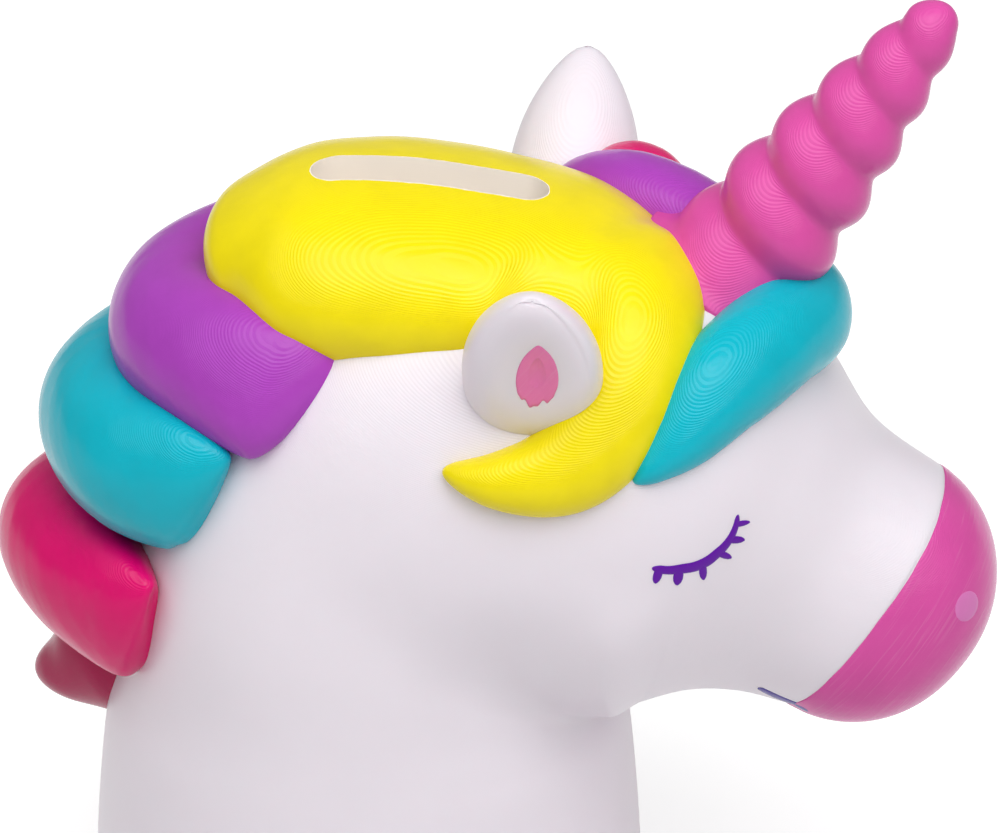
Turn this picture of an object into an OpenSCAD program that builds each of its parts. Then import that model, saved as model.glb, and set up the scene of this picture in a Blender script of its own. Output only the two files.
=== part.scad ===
/* [Neck] */
// Depth of the neck at the base, front to back
neck_depth = 102; // [94:1:110]
// Width of the neck at the base, side to side
neck_width = 94; // [86:1:102]
// Height of the throat, where the jaw leaves the neck
throat_z = 58; // [52:1:62]
// How far the throat is from the middle of the base
throat_x = 46; // [43:1:48]
/* [Head] */
// Distance from the throat to the crest at the nape
nape_reach = 91; // [86:1:96]
// Distance from the throat to the crest at the crown
crown_reach = 101; // [96:1:106]
// Distance from the throat to the forehead
brow_reach = 88; // [84:1:92]
// Height of the middle of the cheeks over the throat
cheek_height = 46; // [42:1:50]
// Width of the skull
skull_width = 88; // [82:1:94]
// Thickness of the moulded wall
wall = 3; // [2:0.2:4]
/* [Muzzle] */
// Distance from the throat to the middle of the muzzle
muzzle_reach = 50.5; // [48:0.5:54]
// Height of the muzzle where the paint starts, square to the snout
muzzle_height = 51; // [46:1:54]
// Width of the muzzle where the paint starts
muzzle_width = 48; // [44:1:52]
// How far the muzzle goes on past the paint line
muzzle_length = 23; // [20:1:26]
/* [Coin slot] */
// Length of the coin slot
slot_length = 42; // [36:1:44]
// Width of the coin slot
slot_width = 9; // [5:0.5:10]
/* [Horn] */
// Length of the horn from the skin to its tip
horn_length = 64.5; // [58:0.5:70]
// Width of the horn at its foot
horn_width = 27.5; // [25:0.5:30]
// Width of the horn at its top coil
horn_tip_width = 8.4; // [7:0.2:10]
// Rise of the lowest coil of the horn
coil_rise = 12.9; // [11.5:0.1:14]
// How deep the groove between two coils is, as a share of the width
coil_depth = 0.24; // [0.1:0.01:0.3]
/* [Ears] */
// Length of an ear from inside the skull to its tip
ear_length = 39; // [35:1:43]
// Width of an ear, front to back
ear_width = 24; // [21:0.5:25]
// Thickness of an ear
ear_depth = 18.5; // [16:0.5:20]
/* [Face] */
// Width of a closed eye with its lashes
eye_width = 16; // [13:0.5:18]
// Width of the painted line of the lid
lid_line = 1.6; // [1.2:0.1:2]
// Height of a nostril
nostril_height = 6.2; // [5:0.2:8]
// Width of a nostril
nostril_width = 4.4; // [3.6:0.2:6]
// Width of the painted line of the mouth
mouth_line = 1.2; // [0.8:0.1:1.6]
// How proud a painted mark stands of the skin
paint_film = 0.4; // [0.3:0.05:0.6]
/* [Hair] */
// How far the crown lock stands over its middle
crown_height = 17.5; // [15:0.5:18.5]
// Half width of the crown lock over the ears
crown_half = 29; // [27:0.5:31]
// Width of the locks down the nape
mane_width = 28; // [25:0.5:30]
// Thickness of the locks down the nape
mane_depth = 28; // [25:0.5:30]
// Width of the locks round the forehead
fringe_width = 20; // [18:0.5:21]
// Thickness of the locks round the forehead
fringe_depth = 16; // [14:0.5:17]
/* [Base] */
// Diameter of the hole that the stopper closes
hole_d = 32; // [26:1:40]
// How far the floor is set up from the rim that the bank stands on
floor_up = 3; // [2.6:0.1:4]
// Diameter of the recess under the floor
recess_d = 66; // [56:1:72]
// Gap between the stopper and what it sits in
stopper_gap = 0.3; // [0.2:0.05:0.4]
// How far the stopper's flange reaches past the hole
flange_lip = 4; // [3:0.5:6]
// Thickness of the stopper's flange
flange_t = 1.6; // [1.2:0.1:1.8]
// Height of the stopper's plug over the floor line
plug_h = 8; // [7:0.5:10]
/* [Hidden] */
white = "#ECE8EC";
pink = "#DA50A3";
nostril_pink = "#DF7ABF";
ear_pink = "#F27DB5";
yellow = "#F5E100";
teal = "#00B5C8";
purple = "#AC42BA";
magenta = "#E0006C";
dark_magenta = "#B0004E";
lash_purple = "#6A00A8";
mouth_purple = "#5A4AA0";
black = "#2A2A2E";

function lerp(a, b, t) = a + (b - a) * t;
function cubic(a, b, c, d, t) =
    0.5 * (2 * b + (c - a) * t + (2 * a - 5 * b + 4 * c - d) * t * t + (3 * b - a - 3 * c + d) * t * t * t);
// The smooth curve through a list's rows, s rows along it
function along(list, s) =
    let (last = len(list) - 1, k = min(floor(s), last - 1), t = s - k)
    cubic(list[max(k - 1, 0)], list[k], list[k + 1], list[min(k + 2, last)], t);
function polar(r, angle) = [r * cos(angle), r * sin(angle)];
function unit(v) = v / norm(v);

// ---- Where things are: in the head's middle plane, the throat is the point that everything fans round ----
throat = [throat_x, throat_z];
// The crest's distance from the throat, by its angle round the throat
crest_reaches = [
    [74, brow_reach],
    [89, lerp(crown_reach, brow_reach, 0.7)],
    [105, lerp(crown_reach, brow_reach, 0.3)],
    [122, crown_reach],
    [139, lerp(nape_reach, crown_reach, 0.9)],
    [157, lerp(nape_reach, crown_reach, 0.45)],
    [175, nape_reach]
];
function crest(angle, share = 1) = throat + polar(share * lookup(angle, crest_reaches), angle);
// A place by its angle round the throat and its shares of the way to the crest and to the skull's side
function on_head(angle, share, across = 0) = let (p = crest(angle, share))
    [p[0], across * skull_width / 2, p[1]];
snout_tilt = 57;
muzzle_mid = throat + polar(muzzle_reach, 27.1);
snout_up = polar(1, snout_tilt);
snout_on = polar(1, snout_tilt - 90);
muzzle_lift = snout_up * muzzle_height / 2;
// A point under the jaw, by shares of the muzzle's distance from the throat
function jaw(on, up) = throat + muzzle_reach * [on, up];
// Each station is [x and z under the jaw, x and z at the crest, half width, blend with the neck column]
function station(a, b, w, blend = 0) = [a[0], a[1], b[0], b[1], w, blend];
neck_half = neck_width / 2;
skull_half = skull_width / 2;
muzzle_half = muzzle_width / 2;
stations = [
    station([neck_depth / 2, 0], [-neck_depth / 2, 0], neck_half),
    station([neck_depth * 0.504, throat_z * 0.207], [-neck_depth * 0.504, throat_z * 0.207], neck_half),
    station([neck_depth * 0.495, throat_z * 0.517], [-neck_depth * 0.495, throat_z * 0.517], neck_half),
    station(
        [throat_x * 1.054, throat_z * 0.862],
        [throat_x - nape_reach * 1.033, throat_z * 0.897],
        neck_half * 0.979),
    station(throat, crest(175), neck_half * 0.968, 0),
    station(throat, crest(157), neck_half * 0.957, 1),
    station(throat, crest(139), skull_half, 1),
    station(throat, crest(122), skull_half * 1.023, 1),
    station(throat, crest(105), skull_half * 1.023, 1),
    station(jaw(0.02, 0.012), crest(89), skull_half * 0.977, 1),
    station(jaw(0.099, 0.05), crest(74), skull_half * 0.886),
    station(jaw(0.257, 0.089), crest(61, 0.8775), skull_half * 0.716),
    station(jaw(0.436, 0.079), crest(49, 0.8055), muzzle_half * 1.083),
    station(muzzle_mid - muzzle_lift, muzzle_mid + muzzle_lift, muzzle_half)
];
corner = 0.92;
dome_rings = 6;
dome_end = 0.35;
dome = [for (k = [1 : dome_rings]) let (
    t = 90 * k / (dome_rings + dome_end),
    m = muzzle_mid + snout_on * muzzle_length * sin(t),
    r = cos(t) ^ corner)
    station(m - muzzle_lift * r, m + muzzle_lift * r, r * muzzle_half)];
// Between two stations that share the throat, the under-jaw point stays on it
function skin_station(s) = let (a = stations[floor(s)], b = stations[ceil(s)], v = along(stations, s))
    a[0] == b[0] && a[1] == b[1] ? [a[0], a[1], v[2], v[3], v[4], v[5]] : v;
head_rings = concat([for (s = [0 : 0.5 : len(stations) - 1]) skin_station(s)], dome);
head_sides = 30;
hollow_sides = 20;
cheek_blend = 5;
jaw_blend = 0.4;
function smooth_max(a, b, k) = max(a, b) + max(k - abs(a - b), 0) ^ 2 / (4 * k);
function fade(v, low, high) = let (s = max(0, min(1, (v - low) / (high - low)))) 1 - s * s * (3 - 2 * s);
function oval(u) = u >= 1 ? 0 : (1 - max(0, u) ^ (2 / corner)) ^ (corner / 2);
// Half width round the throat: the neck column in x joined to the cheeks in z
function throat_width(x, z, inset) = let (
    reach = (throat_x + neck_depth * 0.49) / 2 - inset,
    column = (neck_half * 0.968 - inset) * oval((x - throat_x + reach + inset) / reach),
    cheek = (skull_half - inset) * oval((throat_z + cheek_height - z) / (cheek_height - inset)),
    wide = max(column, cheek))
    wide < 0.01 ? 0 : smooth_max(column, cheek, min(cheek_blend, wide / 3));
function ring_points(st, sides, inset) = let (
    a = [st[0], st[1]],
    b = [st[2], st[3]],
    mid = (a + b) / 2,
    half = norm(b - a) / 2,
    up = (b - a) / (2 * half))
    [for (k = [0 : sides - 1]) let (
        t = 360 * k / sides,
        share = sign(cos(t)) * abs(cos(t)) ^ corner,
        x = mid[0] + up[0] * share * (half - inset),
        z = mid[1] + up[1] * share * (half - inset),
        w = abs(sin(t)) < 0.001 ? 0 : abs(sin(t)) ^ corner * (st[4] - inset),
        blend = max(0, min(1, st[5])) * (1 - fade(-share, 0, jaw_blend)))
        [x, sign(sin(t)) * lerp(w, throat_width(x, z, inset), w == 0 ? 0 : blend), z]];
function sum(list) = list * [for (v = list) 1];
function avg(list) = [for (i = [0 : 2]) sum([for (p = list) p[i]]) / len(list)];
// Which way round a ring runs, seen along the way to the next ring
function runs_forward(a, b) = let (m = avg(a), n = len(a))
    [for (i = [0 : 2]) sum([for (k = [0 : n - 1]) cross(a[k] - m, a[(k + 1) % n] - m)[i]])] * (avg(b) - m) > 0;
// A closed skin over rings that all have as many points
module loft(rings) {
    n = len(rings[0]);
    m = len(rings);
    points = concat([for (r = rings) each r], [avg(rings[0])], [avg(rings[m - 1])]);
    faces = concat(
        [for (j = [0 : m - 2]) for (k = [0 : n - 1]) let (a = j * n + k, b = j * n + (k + 1) % n)
            each [[b + n, b, a], [a + n, b + n, a]]],
        [for (k = [0 : n - 1]) [k, (k + 1) % n, m * n]],
        [for (k = [0 : n - 1]) [(m - 1) * n + (k + 1) % n, (m - 1) * n + k, m * n + 1]]
    );
    forward = runs_forward(rings[0], rings[1]);
    polyhedron(points, forward ? faces : [for (f = faces) [f[2], f[1], f[0]]], convexity = 8);
}
// Keeps a carved form in one piece
module moulded() resize([0, 0, 0]) children();
// A block in front of x = 0
module in_front(reach = crown_reach) translate([0, -reach, -reach]) cube(2 * reach);

// ---- Head ----
module head_skin(inset = 0, sides = head_sides) loft([for (st = head_rings) ring_points(st, sides, inset)]);
floor_top = floor_up + wall;
module cavity() intersection() {
    head_skin(wall, hollow_sides);
    translate([0, 0, floor_top]) rotate([0, -90, 0]) in_front();
}
slot_mid = [throat_x - 0.3287 * crown_reach, -0.077 * skull_half];
slot_low = throat_z + 0.614 * crown_reach;
module slot_cut() translate([slot_mid[0], slot_mid[1], slot_low]) linear_extrude(crown_reach) hull()
    for (side = [-1, 1]) translate([side * (slot_length - slot_width) / 2, 0]) circle(d = slot_width, $fn = 24);
cut_past = 1;
hole_spare = 2;
module recess_cut() translate([0, 0, -cut_past]) cylinder(d = recess_d, h = floor_up + cut_past, $fn = 48);
module hole_cut(spare = 0) translate([0, 0, -cut_past])
    cylinder(d = hole_d - spare, h = floor_top + 2 * cut_past, $fn = 48);
// Everything past the line where the muzzle's paint starts
module past_paint_line() translate([muzzle_mid[0], 0, muzzle_mid[1]])
    rotate([0, 90 - snout_tilt, 0]) in_front(muzzle_height);
// Everything under a line that starts a little under the throat and rises to the nape, where the neck ends
nape_rise = 5;
neck_end = throat_z * 0.965;
module under_head() translate([throat_x, 0, neck_end]) rotate([0, 90 + nape_rise, 0]) in_front();
module shell() difference() {
    head_skin();
    cavity();
    slot_cut();
    hole_cut(hole_spare);
}
module neck_shell() color(white) difference() {
    moulded() intersection() {
        shell();
        under_head();
    }
    recess_cut();
    hole_cut();
}
module head_shell() color(white) moulded() difference() {
    shell();
    under_head();
    past_paint_line();
}
module muzzle() color(pink) moulded() intersection() {
    shell();
    past_paint_line();
}

// ---- Marks painted on the face ----
// What a flat shape covers when it is pushed out through the skin, along its own Z
module mark() moulded() difference() {
    intersection() {
        head_skin(-paint_film);
        children();
    }
    head_skin();
}
module dot(p, d) translate(p) circle(d = d, $fn = 8);
module brush_line(points, d) for (k = [0 : len(points) - 2]) hull() {
    dot(points[k], d);
    dot(points[k + 1], d);
}
eye_mid = on_head(69.7, 0.584, -0.85);
eye_turn = 27;
lid = [[-0.575, -0.044], [-0.388, -0.106], [-0.069, -0.125], [0.194, -0.006], [0.356, 0.169], [0.425, 0.419]];
lashes = [
    [[-0.494, -0.088], [-0.538, -0.238]],
    [[-0.263, -0.125], [-0.281, -0.306]],
    [[0.019, -0.09], [0.031, -0.306]],
    [[0.227, 0.03], [0.356, -0.1]],
    [[0.356, 0.15], [0.506, 0.094]],
    [[0.413, 0.306], [0.563, 0.3]]
];
module eye_right() color(lash_purple) mark() translate(eye_mid) rotate([90, 0, eye_turn])
    linear_extrude(skull_half, center = true) {
        brush_line(eye_width * lid, lid_line);
        for (l = lashes) hull() {
            dot(eye_width * l[0], lid_line);
            dot(eye_width * l[1], lid_line * 0.4);
        }
    }
module eye_left() mirror([0, 1, 0]) eye_right();
nostril_mid = let (p = muzzle_mid + snout_on * 0.56 * muzzle_length + snout_up * 0.28 * muzzle_height)
    [p[0], -0.633 * muzzle_half, p[1]];
module nostril_right() color(nostril_pink) mark() translate(nostril_mid) rotate([0, 30, -50]) rotate([0, 90, 0])
    linear_extrude(muzzle_half, center = true) scale([nostril_height, nostril_width]) circle(d = 1, $fn = 14);
module nostril_left() mirror([0, 1, 0]) nostril_right();
smile = muzzle_height * [[-0.192, -0.37], [-0.087, -0.388], [0.004, -0.385], [0.081, -0.377]];
module mouth_right() difference() {
    mark() translate([muzzle_mid[0], 0, muzzle_mid[1]]) rotate([0, 90 - snout_tilt, 0]) rotate([90, 0, 0])
        linear_extrude(skull_half) brush_line(smile, mouth_line);
    past_paint_line();
}
module mouth() color(mouth_purple) {
    mouth_right();
    mirror([0, 1, 0]) mouth_right();
}

// ---- Ears ----
ear_foot = on_head(99.8, 0.766, -0.677);
ear_on = unit([2, -22, 30]);
ear_across = unit(cross([0, 1, 0], ear_on));
ear_out = cross(ear_across, ear_on);
// Shares of the ear's length and width, from the foot to the tip
ear_shape = [
    [0, 0.9], [0.22, 1], [0.44, 0.99], [0.63, 0.87],
    [0.79, 0.66], [0.91, 0.42], [0.98, 0.2], [1, 0.03]
];
ear_sides = 16;
module ear_form() loft([for (s = [0 : len(ear_shape) - 1]) let (
    e = along(ear_shape, s),
    mid = ear_foot + ear_on * ear_length * e[0])
    [for (k = [0 : ear_sides - 1]) let (t = 360 * k / ear_sides)
        mid + e[1] * (ear_across * ear_width / 2 * cos(t) + ear_out * ear_depth / 2 * sin(t))]]);
dimple_mid = ear_foot + ear_across * 0.05 * ear_width + ear_on * 0.65 * ear_length + ear_out * 0.6 * ear_depth;
dimple_size = [ear_width * 0.34, ear_depth * 0.38, ear_length * 0.33];
module ear_frame(p) multmatrix([for (i = [0 : 2]) [ear_across[i], ear_out[i], ear_on[i], p[i]]]) children();
module ball(size, n) loft([for (j = [0.5 : 1 : n / 2]) let (t = 180 * j / (n / 2 + 0.5))
    [for (k = [0 : n - 1]) let (a = 360 * k / n)
        [size[0] * sin(t) * cos(a), size[1] * sin(t) * sin(a), -size[2] * cos(t)]]]);
module dimple(grow = 0) ear_frame(dimple_mid) ball([for (v = dimple_size) v + grow], 12);
module ear_right() color(white) moulded() difference() {
    ear_form();
    dimple();
    head_skin();
}
module ear_left() mirror([0, 1, 0]) ear_right();
leaf = [for (k = [0 : 9]) let (t = 36 * k)
    [ear_width * 0.163 * sin(t) * (1 - 0.25 * cos(t)), ear_length * (0.169 * cos(t) - 0.026)]];
module inner_ear_right() color(ear_pink) moulded() difference() {
    intersection() {
        dimple();
        ear_form();
        ear_frame(dimple_mid) rotate([90, 0, 0]) linear_extrude(2 * ear_depth, center = true) polygon(leaf);
    }
    dimple(-paint_film);
    head_skin();
}
module inner_ear_left() mirror([0, 1, 0]) inner_ear_right();

// ---- Horn ----
horn_foot = on_head(77, 0.971);
horn_lean = 34.5;
horn_sunk = 9;
horn_sides = 18;
horn_steps = 40;
coil_start = 6.5;
coil_close = 0.38;
coil_fade = 4;
foot_flare = 7;
tip_round = 5;
// Shares of the horn's steps and of its height where its round tip starts
tip_steps = 0.9;
tip_at = 0.95;
// How many turns the coil has made at this height; the turns draw together towards the tip
function turns(z) =
    (coil_rise - sqrt(max(0, coil_rise ^ 2 - 4 * coil_close * (z - coil_start)))) / (2 * coil_close);
function horn_height(f) = lerp(-horn_sunk, horn_length,
    f < tip_steps
        ? f * tip_at / tip_steps
        : tip_at + (1 - tip_at) * sin(90 * (f - tip_steps) / (1 - tip_steps)));
module horn_form() translate(horn_foot) rotate([0, horn_lean, 0]) loft([for (j = [0 : horn_steps]) let (
    z = horn_height(j / horn_steps),
    q = max(0, z / horn_length),
    end = max(0, (z - horn_length + tip_round) / tip_round),
    r = lerp(horn_tip_width, horn_width, 1 - q ^ 1.6) / 2
        * (1 + 0.1 * max(0, 1 - z / foot_flare) ^ 2) * sqrt(max(0.004, 1 - end * end)))
    [for (k = [0 : horn_sides - 1]) let (
        u = turns(z) + k / horn_sides,
        across = 2 * (u - floor(u)) - 1,
        deep = coil_depth * (1 - sqrt(1 - across * across)) * max(0, min(1, z / coil_fade)) * (1 - 0.7 * end))
        r * (1 - deep) * [cos(360 * k / horn_sides), sin(360 * k / horn_sides), 0] + [0, 0, z]]]);
module horn() color(pink) moulded() difference() {
    horn_form();
    head_skin();
}

// ---- Hair ----
// A step of a lock: its place on the head, and shares of the lock's half width and half thickness
function step(angle, share, across, w, t) = concat(on_head(angle, share, across), [w, t]);
end_share = 0.06;
// How much of the lock's section is left near an end that closes over its last blunt steps
function closing(left, blunt) = let (e = max(0, 1 - left / blunt)) sqrt(max(0, 1 - e * e));
// A lock through its steps, with its outer side facing away from the centre. Slant leans its ends along its way
module lock(steps, centre, size, blunt = [0.5, 0.5], sides = 12, slant = 0, per = 2) {
    last = len(steps) - 1;
    n = last * per;
    rows = [for (i = [0 : n]) along(steps, i / per)];
    at = [for (v = rows) [v[0], v[1], v[2]]];
    loft([for (i = [0 : n]) let (
        q = max(end_share, closing(i / per, blunt[0]) * closing(last - i / per, blunt[1])),
        t = unit(at[min(i + 1, n)] - at[max(i - 1, 0)]),
        s = unit(cross(t, at[i] - centre)),
        u = cross(s, t),
        lean = slant * (max(0, 1 - (last - i / per)) - max(0, 1 - i / per)))
        [for (k = [0 : sides - 1]) let (a = -360 * k / sides)
            at[i] + q * ((s + t * lean) * rows[i][3] * size[0] * cos(a) + u * rows[i][4] * size[1] * sin(a))]]);
}
crown_size = [crown_half, crown_height];
mane_size = [mane_width, mane_depth] / 2;
fringe_size = [fringe_width, fringe_depth] / 2;
crown_centre = on_head(176.3, 0.341);
fringe_centre = on_head(106.5, 0.578);
nape_centre = on_head(132.6, 0.677);
low_centre = on_head(146.9, 0.56);
tip_centre = on_head(206.6, 1.179);
module crown_form() lock([
    step(130.2, 1.055, 0, 0.224, 0.514),
    step(127.3, 1.049, -0.023, 0.431, 0.743),
    step(122.7, 1.009, -0.023, 0.828, 0.971),
    step(116, 0.964, -0.023, 1, 1),
    step(106.9, 0.916, -0.045, 1.017, 0.971),
    step(97.4, 0.9, -0.091, 0.897, 0.886),
    step(89.3, 0.897, -0.25, 0.621, 0.714),
    step(82.8, 0.882, -0.364, 0.345, 0.457)
],
    crown_centre, crown_size, [0.9, 0.9], 18);
module yellow_form() lock([
    step(91.9, 0.981, -0.023, 1.2, 0.75),
    step(87.4, 0.974, -0.25, 1.3, 0.938),
    step(85.5, 0.92, -0.523, 1.05, 0.938),
    step(87.3, 0.815, -0.75, 1, 0.875),
    step(94.3, 0.707, -0.909, 0.87, 0.812),
    step(104.9, 0.682, -0.977, 0.54, 0.688),
    step(113.1, 0.72, -0.966, 0.12, 0.25)
],
    fringe_centre, fringe_size, [0.8, 0.5]);
module teal_form() lock([
    step(71.1, 0.985, 0.273, 0.9, 0.938),
    step(67.5, 0.965, 0, 1, 1.062),
    step(70.2, 0.954, -0.295, 0.98, 1),
    step(74.9, 0.892, -0.58, 0.92, 0.938),
    step(79.3, 0.786, -0.773, 0.62, 0.75),
    step(84.6, 0.697, -0.898, 0.14, 0.25)
],
    fringe_centre, fringe_size, [0.9, 0.4]);
module purple_fringe_form() lock([
    step(75.5, 0.993, 0.091, 0.8, 0.875),
    step(82.2, 0.985, 0.273, 0.95, 1.062),
    step(89.4, 0.962, 0.432, 1.05, 1.125),
    step(94.1, 0.889, 0.659, 1, 0.938),
    step(93.1, 0.784, 0.864, 0.75, 0.812),
    step(90.9, 0.681, 0.955, 0.2, 0.312)
],
    fringe_centre, fringe_size, [0.8, 0.4]);
module magenta_fringe_form() lock([
    step(84, 0.944, 0.455, 0.8, 1),
    step(90, 0.927, 0.659, 0.9, 1.188),
    step(92.2, 0.829, 0.841, 0.9, 1.062),
    step(94.3, 0.707, 0.955, 0.7, 0.75),
    step(97.1, 0.597, 1, 0.2, 0.312)
],
    fringe_centre, fringe_size, [0.8, 0.4]);
// A lock round the nape, whose left half mirrors its right one
function both_sides(half) = concat(
    half,
    [for (k = [len(half) - 1 : -1 : 0]) let (s = half[k]) [s[0], -s[1], s[2], s[3], s[4]]]
);
mane_sides = 14;
module purple_mane_form() lock(both_sides([
    step(127.2, 0.904, -0.716, 0.857, 0.25),
    step(129.2, 0.953, -0.659, 0.95, 0.5),
    step(133.4, 1.001, -0.477, 0.893, 0.75),
    step(137.3, 1.06, -0.182, 0.893, 0.893)
]),
    nape_centre, mane_size, [0.6, 0.6], mane_sides, 0.55);
module teal_mane_form() lock(both_sides([
    step(142.9, 0.861, -0.745, 0.75, 0.25),
    step(144.8, 0.932, -0.682, 0.914, 0.536),
    step(148, 1.013, -0.466, 1, 0.857),
    step(150, 1.069, -0.136, 1.071, 1)
]),
    nape_centre, mane_size, [0.6, 0.6], mane_sides);
module magenta_mane_form() lock(both_sides([
    step(164.1, 0.893, -0.67, 0.893, 0.286),
    step(164.2, 0.948, -0.614, 1, 0.571),
    step(165, 1.03, -0.364, 1, 0.893),
    step(165.1, 1.083, -0.091, 1.036, 1.071)
]),
    low_centre, mane_size, [0.6, 0.6], mane_sides);
module mane_tip_form() lock([
    step(178.7, 0.945, 0.023, 0.857, 0.929),
    step(179.7, 1.011, 0.023, 0.857, 0.929),
    step(180.9, 1.061, 0.034, 0.75, 0.857),
    step(182.4, 1.122, 0.045, 0.536, 0.543),
    step(183, 1.177, 0.057, 0.314, 0.3),
    step(183.1, 1.206, 0.057, 0.107, 0.107)
],
    tip_centre, mane_size, [0.2, 0.3]);

module horn_and_ears() {
    horn_form();
    ear_form();
    mirror([0, 1, 0]) ear_form();
}
module yellow_forelock() color(yellow) moulded() difference() {
    yellow_form();
    head_skin();
    horn_and_ears();
}
module crown_lock() color(yellow) moulded() difference() {
    crown_form();
    head_skin();
    horn_and_ears();
    yellow_form();
    slot_cut();
}
module teal_forelock() color(teal) moulded() difference() {
    teal_form();
    head_skin();
    horn_form();
    yellow_form();
    crown_form();
}
module purple_forelock() color(purple) moulded() difference() {
    purple_fringe_form();
    head_skin();
    horn_and_ears();
    yellow_form();
    crown_form();
    teal_form();
}
module magenta_forelock() color(magenta) moulded() difference() {
    magenta_fringe_form();
    head_skin();
    horn_and_ears();
    teal_form();
    purple_fringe_form();
    crown_form();
    yellow_form();
}
module purple_mane() color(purple) moulded() difference() {
    purple_mane_form();
    head_skin();
    crown_form();
}
module teal_mane() color(teal) moulded() difference() {
    teal_mane_form();
    head_skin();
    purple_mane_form();
    crown_form();
}
module magenta_mane() color(magenta) moulded() difference() {
    magenta_mane_form();
    head_skin();
    teal_mane_form();
}
module mane_tip() color(dark_magenta) moulded() difference() {
    mane_tip_form();
    head_skin();
    magenta_mane_form();
}

// ---- Stopper ----
plug_taper = 0.4;
plug_wall = 2.4;
edge_round = 0.5;
web = 0.6;
flange_top = floor_up - stopper_gap;
flange_r = hole_d / 2 + flange_lip;
plug_r = hole_d / 2 - stopper_gap;
plug_top = floor_up + plug_h;
module stopper() color(black) rotate_extrude($fn = 64) polygon([
    [0, flange_top - flange_t],
    [flange_r - edge_round, flange_top - flange_t],
    [flange_r, flange_top - flange_t / 2],
    [flange_r - edge_round, flange_top],
    [plug_r, flange_top],
    [plug_r, floor_top],
    [plug_r - plug_taper, plug_top],
    [plug_r - plug_taper - plug_wall, plug_top],
    [plug_r - plug_wall, flange_top + web],
    [0, flange_top + web]
]);
tab_t = 0.7;
tab_wide = hole_d * 0.28;
tab_narrow = hole_d * 0.19;
tab_low = flange_top - flange_t - tab_t;
module stopper_tab() color(black) translate([0, 0, tab_low]) linear_extrude(tab_t) hull() {
    translate([-tab_wide / 3, 0]) circle(d = tab_wide, $fn = 32);
    translate([tab_narrow, 0]) circle(d = tab_narrow, $fn = 32);
}

neck_shell();
head_shell();
muzzle();
nostril_left();
nostril_right();
mouth();
eye_left();
eye_right();
ear_left();
ear_right();
inner_ear_left();
inner_ear_right();
horn();
crown_lock();
yellow_forelock();
teal_forelock();
purple_forelock();
magenta_forelock();
purple_mane();
teal_mane();
magenta_mane();
mane_tip();
stopper();
stopper_tab();
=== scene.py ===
"""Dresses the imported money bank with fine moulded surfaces, brushed enamel and soft vinyl.

Shapes are worked out in millimetres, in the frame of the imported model, and put into meshes in metres.
"""

import math
from types import SimpleNamespace

import bpy
import numpy as np
from mathutils import Matrix


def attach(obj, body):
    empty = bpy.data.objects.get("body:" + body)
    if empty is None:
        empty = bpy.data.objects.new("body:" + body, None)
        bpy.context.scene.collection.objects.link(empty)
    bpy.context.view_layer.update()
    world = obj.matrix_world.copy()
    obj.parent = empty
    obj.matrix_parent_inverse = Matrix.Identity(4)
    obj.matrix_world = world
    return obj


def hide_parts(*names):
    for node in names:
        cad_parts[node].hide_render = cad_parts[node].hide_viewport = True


bl_info = {
    "name": "Moulded Money Bank",
    "version": (1, 0, 0),
    "blender": (4, 5, 0),
    "location": "View3D > Sidebar > Money Bank",
    "description": "Builds the skin, paint, hair and horn of a moulded money bank around its packed frame",
    "category": "Add Mesh",
}

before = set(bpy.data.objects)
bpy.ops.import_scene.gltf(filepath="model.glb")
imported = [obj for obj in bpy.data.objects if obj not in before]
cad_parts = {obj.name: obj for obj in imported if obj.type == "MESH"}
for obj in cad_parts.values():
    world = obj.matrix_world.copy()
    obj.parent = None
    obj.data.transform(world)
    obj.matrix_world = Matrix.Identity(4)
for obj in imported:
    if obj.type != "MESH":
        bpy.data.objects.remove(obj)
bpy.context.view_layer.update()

MM = 0.001
TURN = 2 * math.pi


# ---- Colours and sizes a user may change ----


def linear(code):
    """Linear RGB of an sRGB hex colour: c / 12.92 up to 0.04045, else ((c + 0.055) / 1.055) ^ 2.4."""
    srgb = np.array([int(code[i : i + 2], 16) for i in (1, 3, 5)]) / 255
    return tuple(np.where(srgb <= 0.04045, srgb / 12.92, ((srgb + 0.055) / 1.055) ** 2.4))


def length(name, description, default):
    more = {"unit": "LENGTH", "precision": 5}
    return bpy.props.FloatProperty(name=name, description=description, default=default * MM, **more)


def share(name, description, default):
    more = {"subtype": "FACTOR", "min": 0, "max": 1}
    return bpy.props.FloatProperty(name=name, description=description, default=default, **more)


def power(name, description, default):
    return bpy.props.FloatProperty(name=name, description=description, default=default, unit="POWER")


def colour(name, description, code):
    more = {"subtype": "COLOR", "size": 3}
    return bpy.props.FloatVectorProperty(name=name, description=description, default=linear(code), **more)


class BankHead(bpy.types.PropertyGroup):
    neck_depth: length("Neck depth", "Depth of the neck at the base, front to back", 102)
    neck_width: length("Neck width", "Width of the neck at the base", 94)
    nape_reach: length("Nape reach", "Distance from the throat to the crest at the nape", 91)
    crown_reach: length("Crown reach", "Distance from the throat to the crest at the crown", 101)
    brow_reach: length("Brow reach", "Distance from the throat to the forehead", 88)
    cheek_height: length("Cheek height", "Height of the middle of the cheeks over the throat", 46)
    skull_width: length("Skull width", "Width of the skull", 88)
    muzzle_reach: length("Muzzle reach", "Distance from the throat to the middle of the muzzle", 50.5)
    muzzle_height: length("Muzzle height", "Height of the muzzle where its paint starts", 51)
    muzzle_width: length("Muzzle width", "Width of the muzzle where its paint starts", 48)
    muzzle_length: length("Muzzle length", "How far the muzzle goes on past the paint line", 23)
    wall: length("Wall", "Thickness of the moulded wall", 3)
    slot_length: length("Slot length", "Length of the coin slot", 42)
    slot_width: length("Slot width", "Width of the coin slot", 9)
    recess_width: length("Recess width", "Diameter of the recess under the floor", 66)
    hole_width: length("Hole width", "Diameter of the hole that the stopper closes", 32)
    floor_up: length("Floor height", "Height of the floor over the rim", 3)


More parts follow.
